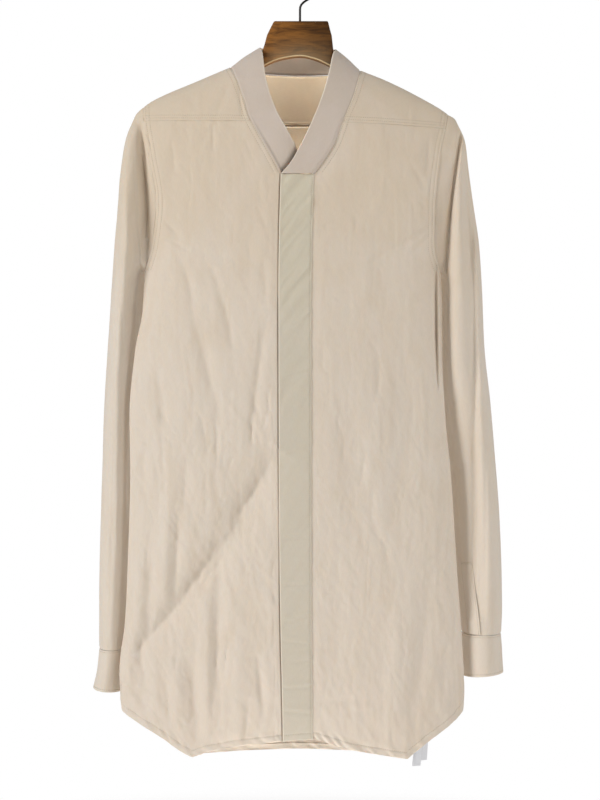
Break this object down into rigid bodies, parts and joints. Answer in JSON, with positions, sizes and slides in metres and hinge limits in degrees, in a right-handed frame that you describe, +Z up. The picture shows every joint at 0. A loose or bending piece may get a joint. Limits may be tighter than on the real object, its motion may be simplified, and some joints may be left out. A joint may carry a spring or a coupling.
{
  "type": "collarless long shirt on a hanger",
  "caption": "Collarless long-sleeved shirt with a wide V neck band, covered front placket and angled tails, hanging on a wooden hanger with a wire hook.",
  "frame": {"origin": "point inside the top of the hook, where a rod or wall peg holds it", "axes": "+Z up, front of the shirt towards -Y, wearer's left towards +X"},
  "size_m": [0.5486, 0.164, 1.0596],
  "materials": {
    "cotton": "plain weave, soft, slightly crumpled",
    "band_cotton": "plain weave, greyish pink",
    "placket_cotton": "plain weave, grey beige",
    "satin": "pale satin label, blank",
    "wood": "dark reddish brown, satin varnish",
    "wire": "black"
  },
  "bodies": {
    "root": {"front_right": "cotton", "front_left": "cotton", "back": "cotton", "yoke": "cotton", "neckband_right": "band_cotton", "neckband_left": "band_cotton", "neckband_back": "band_cotton", "placket": "placket_cotton", "sleeve_right": "cotton", "sleeve_left": "cotton", "cuff_right": "cotton", "cuff_left": "cotton", "sleeve_placket_right": "cotton", "sleeve_placket_left": "cotton", "care_label_large": "satin", "care_label_small": "satin", "hanger": "wood", "hook": "wire"}
  },
  "joints": []
}
